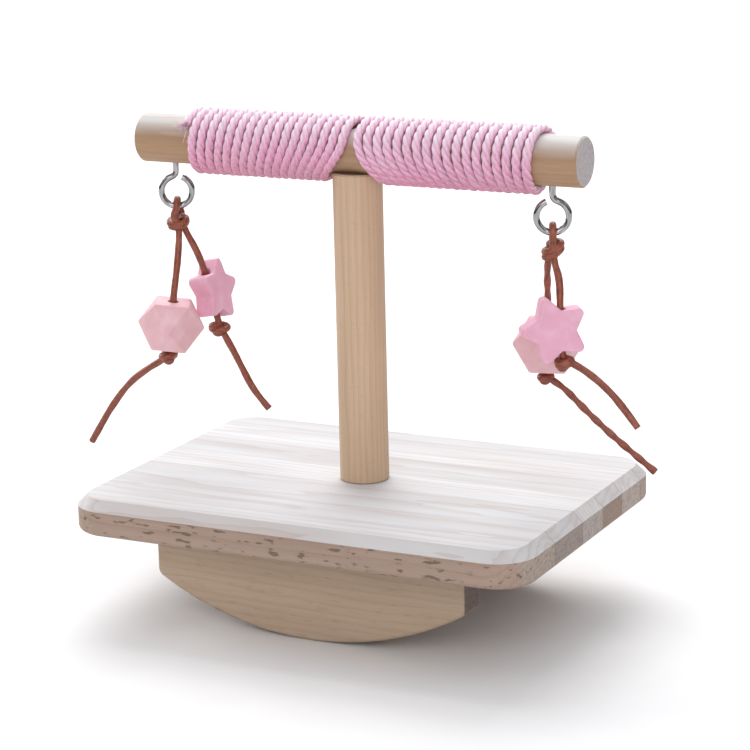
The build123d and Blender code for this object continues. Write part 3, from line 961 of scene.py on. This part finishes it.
def bead_place(joint, facing):
    """Where a bead sits: its bore along the joint's axis, its own X turned by facing."""
    up = Vector(JOINTS[joint]["axis"]).normalized()
    x = Vector((math.cos(facing), math.sin(facing), 0))
    x = (x - up * x.dot(up)).normalized()
    turn = Matrix((x, up.cross(x), up)).transposed().to_4x4()
    return Matrix.Translation(JOINTS[joint]["pos_m"]) @ turn


def finish_bead(name, mesh, place, bore, body, look, replaced):
    """Drills the bead in its own frame, then moves its points to where it hangs."""
    rough = show(bpy.data.objects.new("rough_bead", mesh))
    drill(rough, bore / 2, 0.04)
    drilled = rough.data
    bpy.data.objects.remove(rough)
    drilled.materials.clear()
    drilled.transform(place)
    piece(name, drilled, body, look, [replaced], sharp_angle=math.radians(32))


def faceted_mesh(radius, soften=0.0004):
    """A cuboctahedron with softened edges."""
    half = radius / math.sqrt(2)
    shape = bmesh.new()
    for a in (-half, half):
        for b in (-half, half):
            for corner in ((a, b, 0.0), (a, 0.0, b), (0.0, a, b)):
                shape.verts.new(corner)
    bmesh.ops.convex_hull(shape, input=shape.verts)
    bmesh.ops.dissolve_limit(shape, angle_limit=0.02, verts=shape.verts, edges=shape.edges)
    bmesh.ops.bevel(shape, geom=shape.edges[:], offset=soften, segments=4, profile=0.5, affect="EDGES")
    mesh = bpy.data.meshes.new("faceted")
    shape.to_mesh(mesh)
    shape.free()
    return mesh


def rounded_outline(corners, radii, steps=7):
    """A closed outline with each corner replaced by an arc: points, and unit normals outward."""
    points, normals = [], []
    count = len(corners)
    for i, radius in enumerate(radii):
        before, at, after = (np.array(corners[(i + k) % count]) for k in (-1, 0, 1))
        back = (before - at) / np.linalg.norm(before - at)
        on = (after - at) / np.linalg.norm(after - at)
        half = math.acos(float(back @ on)) / 2
        middle = (back + on) / np.linalg.norm(back + on)
        centre = at + middle * radius / math.sin(half)
        first = at + back * radius / math.tan(half) - centre
        last = at + on * radius / math.tan(half) - centre
        start, end = math.atan2(first[1], first[0]), math.atan2(last[1], last[0])
        swing = (end - start + math.pi) % (2 * math.pi) - math.pi
        convex = 1.0 if swing > 0 else -1.0
        for share in np.linspace(0.0, 1.0, steps):
            angle = start + swing * share
            way = np.array([math.cos(angle), math.sin(angle)])
            points.append(centre + radius * way)
            normals.append(way * convex)
    return np.array(points), np.array(normals)


def star_mesh(settings):
    """A five-pointed star standing in its own XZ plane, with softened rims, to be bored along its Z axis.
    """
    corners, radii = [], []
    aside = settings.star_notch * math.cos(math.radians(72))
    for i in range(10):
        reach = settings.star_notch if i % 2 else settings.star_radius
        angle = math.radians(90 + 18 + 36 * i)
        corners.append((reach * math.cos(angle) - aside, reach * math.sin(angle)))
        radii.append(STAR_NOTCH_ROUNDING if i % 2 else STAR_TIP_ROUNDING)
    outline, normals = rounded_outline(corners, radii)
    half = settings.star_thickness / 2
    bend = np.linspace(0, math.pi / 2, 5)
    profile = [(STAR_RIM * (1 - math.cos(a)), half - STAR_RIM * (1 - math.sin(a))) for a in bend]
    rings = [(inset, -depth) for inset, depth in reversed(profile)] + list(profile)
    shape = bmesh.new()
    loops = []
    for inset, depth in rings:
        ring = outline - normals * inset
        loops.append([shape.verts.new((x, depth, z)) for x, z in ring])
    count = len(outline)
    for near, far in zip(loops, loops[1:]):
        for k in range(count):
            shape.faces.new((near[k], near[(k + 1) % count], far[(k + 1) % count], far[k]))
    shape.faces.new(loops[0][::-1])
    shape.faces.new(loops[-1])
    bmesh.ops.recalc_face_normals(shape, faces=shape.faces)
    mesh = bpy.data.meshes.new("star")
    shape.to_mesh(mesh)
    shape.free()
    return mesh


def build_beads(settings):
    faceted_look = paint("faceted_paint", tuple(settings.faceted_paint))
    star_look = paint("star_paint", tuple(settings.star_paint))
    for side in SIDES:
        finish_bead(
            f"{side}_faceted_block", faceted_mesh(settings.faceted_radius),
            bead_place(f"{side}_bead_spin", FACETED_FACING), settings.bore, f"{side}_bead",
            faceted_look, f"{side}_faceted_bead",
        )
        finish_bead(
            f"{side}_star_block", star_mesh(settings),
            bead_place(f"{side}_star_spin", STAR_FACING[side]), settings.bore, f"{side}_star",
            star_look, f"{side}_star_bead",
        )


# ---------------------------------------------------------------- studio


def build_camera(settings):
    a, e, r = settings.azimuth, settings.elevation, settings.roll
    back = Vector((math.sin(a) * math.cos(e), -math.cos(a) * math.cos(e), math.sin(e)))
    level = Vector((math.cos(a), math.sin(a), 0))
    upward = back.cross(level)
    right = math.cos(r) * level + math.sin(r) * upward
    up = -math.sin(r) * level + math.cos(r) * upward
    lens = bpy.data.cameras.new("camera")
    lens.lens, lens.sensor_width = settings.lens, 36.0
    lens.clip_start, lens.clip_end = 0.05, 50.0
    camera = show(bpy.data.objects.new("camera", lens))
    turn = Matrix((right, up, back)).transposed().to_4x4()
    camera.matrix_world = Matrix.Translation(Vector(settings.target) + back * settings.distance) @ turn
    bpy.context.scene.camera = camera


def soft_light(name, position, aim, size, power):
    lamp = bpy.data.lights.new(name, "AREA")
    lamp.shape, lamp.size, lamp.energy = "DISK", size, power
    holder = show(bpy.data.objects.new(name, lamp))
    holder.location = position
    holder.rotation_mode = "QUATERNION"
    holder.rotation_quaternion = (Vector(aim) - Vector(position)).to_track_quat("-Z", "Y")


def build_studio(settings):
    build_camera(settings)
    scene = bpy.context.scene
    scene.view_settings.view_transform = "Standard"
    mesh = bpy.data.meshes.new("floor")
    corners = [(-1, -1), (1, -1), (1, 1), (-1, 1)]
    mesh.from_pydata([(x * FLOOR_HALF, y * FLOOR_HALF, 0.0) for x, y in corners], [], [(0, 1, 2, 3)])
    mesh.materials.append(plain_floor("pale_floor"))
    show(bpy.data.objects.new("floor", mesh))
    world = bpy.data.worlds.new("studio")
    world.use_nodes = True
    tree = world.node_tree
    sky = add(tree, "ShaderNodeSeparateXYZ", {0: add(tree, "ShaderNodeTexCoord").outputs["Generated"]})
    dim, soft, bright = (0.10, 0.10, 0.10), (0.50, 0.50, 0.51), (1.0, 1.0, 1.03)
    room = ramp(tree, sky.outputs[2], [(0.0, dim), (0.16, dim), (0.34, soft), (0.9, bright)])
    seen = add(tree, "ShaderNodeLightPath").outputs["Is Camera Ray"]
    tone = blend_colour(tree, seen, room, (1.0, 1.0, 1.0))
    tree.links.new(tone, tree.nodes["Background"].inputs["Color"])
    scene.world = world
    for name, position, size, power in LIGHTS:
        soft_light(name, position, LIGHT_AIM, size, power)


# ---------------------------------------------------------------- operators


class PERCH_OT_studio(bpy.types.Operator):
    """Make the camera, the floor and the soft lights"""

    bl_idname = "perch.studio"
    bl_label = "Studio"

    def execute(self, context):
        build_studio(context.scene.perch_studio)
        return {"FINISHED"}


class PERCH_OT_cords(bpy.types.Operator):
    """Make the toys' strands, loops and knots"""

    bl_idname = "perch.cords"
    bl_label = "Cords and knots"

    def execute(self, context):
        build_cords(context.scene.perch_cord)
        return {"FINISHED"}


class PERCH_OT_wood(bpy.types.Operator):
    """Give the board, the rockers and the rods their wood"""

    bl_idname = "perch.wood"
    bl_label = "Wood"

    def execute(self, context):
        finish_wood(context.scene.perch_wood)
        return {"FINISHED"}


class PERCH_OT_metal(bpy.types.Operator):
    """Give the screw eyes and the screws their plating"""

    bl_idname = "perch.metal"
    bl_label = "Metal"

    def execute(self, context):
        finish_metal()
        return {"FINISHED"}


class PERCH_OT_rope(bpy.types.Operator):
    """Wind the cotton rope round the bar"""

    bl_idname = "perch.rope"
    bl_label = "Rope"

    def execute(self, context):
        build_rope(context.scene.perch_rope)
        return {"FINISHED"}


class PERCH_OT_beads(bpy.types.Operator):
    """Make the faceted beads and the star beads"""

    bl_idname = "perch.beads"
    bl_label = "Beads"

    def execute(self, context):
        build_beads(context.scene.perch_beads)
        return {"FINISHED"}


class PERCH_PT_panel(bpy.types.Panel):
    """Sidebar panel with the perch's steps and settings"""

    bl_idname = "PERCH_PT_panel"
    bl_label = "Rocking perch"
    bl_space_type = "VIEW_3D"
    bl_region_type = "UI"
    bl_category = "Perch"

    def draw(self, context):
        for step, group in STEPS:
            box = self.layout.box()
            box.operator(step)
            if group:
                settings = getattr(context.scene, group)
                for name in settings.bl_rna.properties.keys():
                    if name not in ("rna_type", "name"):
                        box.prop(settings, name)


STEPS = (
    ("perch.studio", "perch_studio"),
    ("perch.cords", "perch_cord"),
    ("perch.wood", "perch_wood"),
    ("perch.metal", None),
    ("perch.rope", "perch_rope"),
    ("perch.beads", "perch_beads"),
)
CLASSES = (
    *GROUPS.values(), PERCH_OT_studio, PERCH_OT_cords, PERCH_OT_wood, PERCH_OT_metal, PERCH_OT_rope,
    PERCH_OT_beads, PERCH_PT_panel,
)


def register():
    for each in CLASSES:
        bpy.utils.register_class(each)
    for name, group in GROUPS.items():
        setattr(bpy.types.Scene, name, PointerProperty(type=group))


def unregister():
    for name in GROUPS:
        delattr(bpy.types.Scene, name)
    for each in reversed(CLASSES):
        bpy.utils.unregister_class(each)


def main():
    register()
    for step, _ in STEPS:
        group, name = step.split(".")
        getattr(getattr(bpy.ops, group), name)()


if __name__ == "__main__":
    main()
